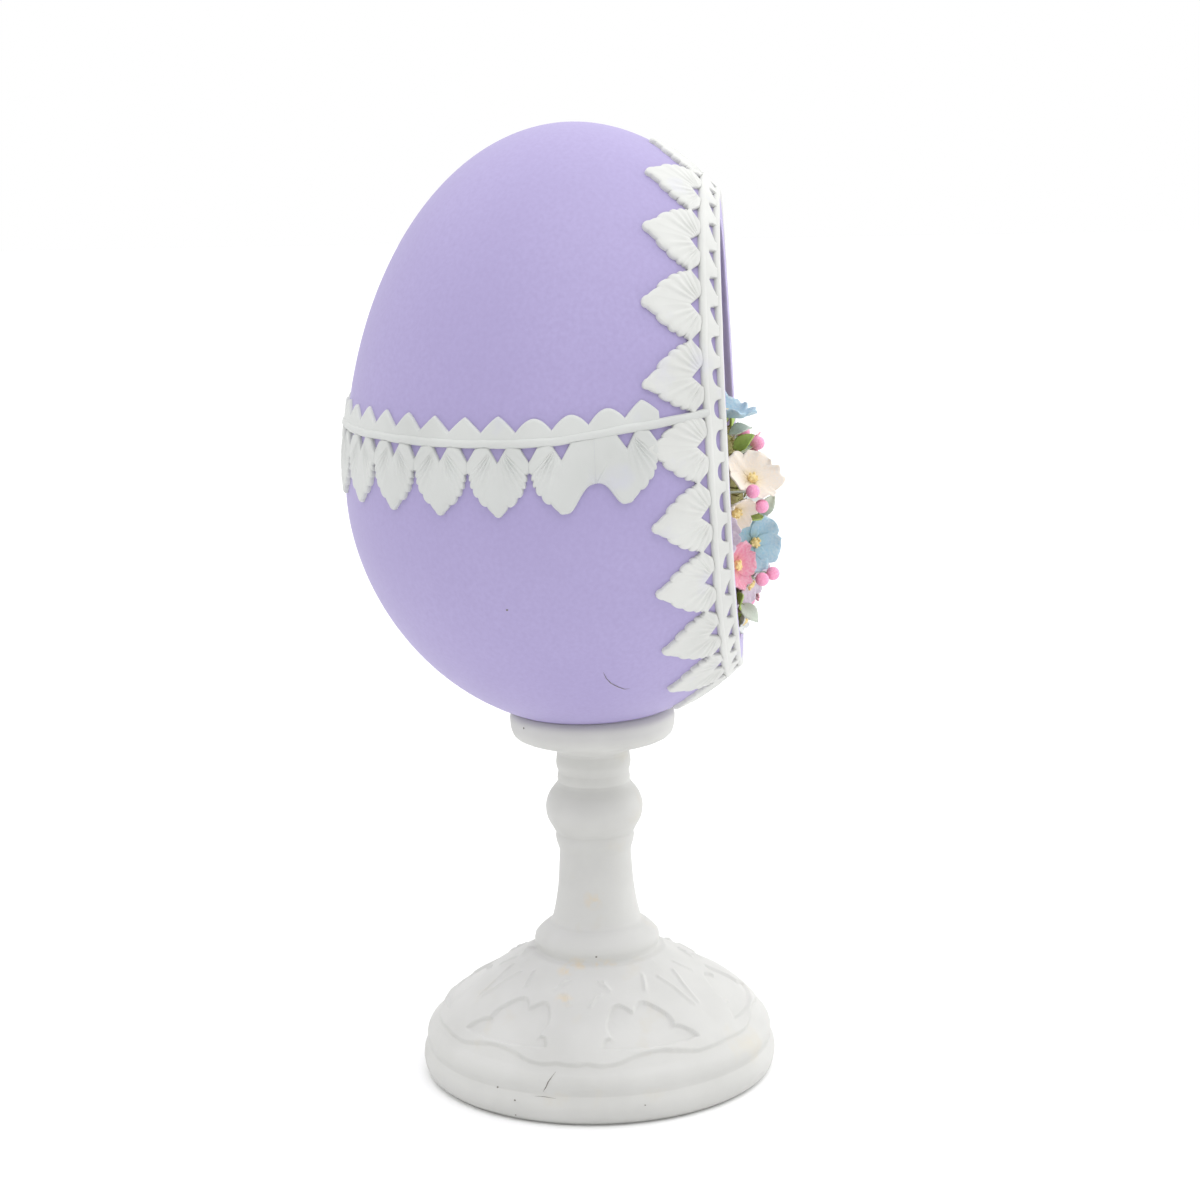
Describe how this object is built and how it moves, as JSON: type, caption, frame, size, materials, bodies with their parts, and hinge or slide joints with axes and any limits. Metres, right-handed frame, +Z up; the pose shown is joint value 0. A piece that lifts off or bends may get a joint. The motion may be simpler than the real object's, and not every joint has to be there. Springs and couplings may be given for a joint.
{
  "type": "panoramic egg ornament",
  "caption": "Hollow lavender egg with an open front, lace trims and a posy of paper flowers inside, standing on a turned white pedestal.",
  "frame": {"origin": "centre of the pedestal's flat underside", "axes": "+Z up along the pedestal's axis; the egg's opening faces -Y; X runs from side to side"},
  "size_m": [0.1303, 0.1201, 0.26],
  "materials": {
    "lavender_shell": "satin lavender casting, faintly mottled",
    "white_cast": "satin white casting with faint stains in the relief",
    "white_lace": "matt off-white moulded lace",
    "moss": "dry preserved moss",
    "paper_blue": "matt pale blue mulberry paper",
    "paper_cream": "matt cream mulberry paper",
    "paper_pink": "matt pink mulberry paper",
    "paper_mauve": "matt mauve mulberry paper",
    "paper_white": "matt grey-white mulberry paper",
    "berry_pink": "sugared pink coating",
    "leaf_green": "matt green paper",
    "leaf_pale": "matt pale green paper"
  },
  "bodies": {
    "root": {"pedestal": "white_cast", "egg_shell": "lavender_shell", "opening_lace": "white_lace", "waist_lace": "white_lace", "moss_mound": "moss", "flower_blue_1": "paper_blue", "flower_cream_2": "paper_cream", "flower_cream_3": "paper_cream", "flower_mauve_4": "paper_mauve", "flower_blue_5": "paper_blue", "flower_white_6": "paper_white", "flower_pink_7": "paper_pink", "flower_mauve_8": "paper_mauve", "flower_white_9": "paper_white", "flower_white_10": "paper_white", "flower_blue_11": "paper_blue", "flower_pink_12": "paper_pink", "flower_cream_13": "paper_cream", "flower_pink_14": "paper_pink", "flower_mauve_15": "paper_mauve", "flower_white_16": "paper_white", "flower_blue_17": "paper_blue", "flower_mauve_18": "paper_mauve", "flower_cream_19": "paper_cream", "flower_blue_20": "paper_blue", "berry_1": "berry_pink", "berry_2": "berry_pink", "berry_3": "berry_pink", "berry_4": "berry_pink", "berry_5": "berry_pink", "berry_6": "berry_pink", "berry_7": "berry_pink", "berry_8": "berry_pink", "berry_9": "berry_pink", "leaf_1": "leaf_pale", "leaf_2": "leaf_green", "leaf_3": "leaf_green", "leaf_4": "leaf_pale", "leaf_5": "leaf_pale", "leaf_6": "leaf_green", "leaf_7": "leaf_pale", "leaf_8": "leaf_green", "leaf_9": "leaf_green"}
  },
  "joints": []
}
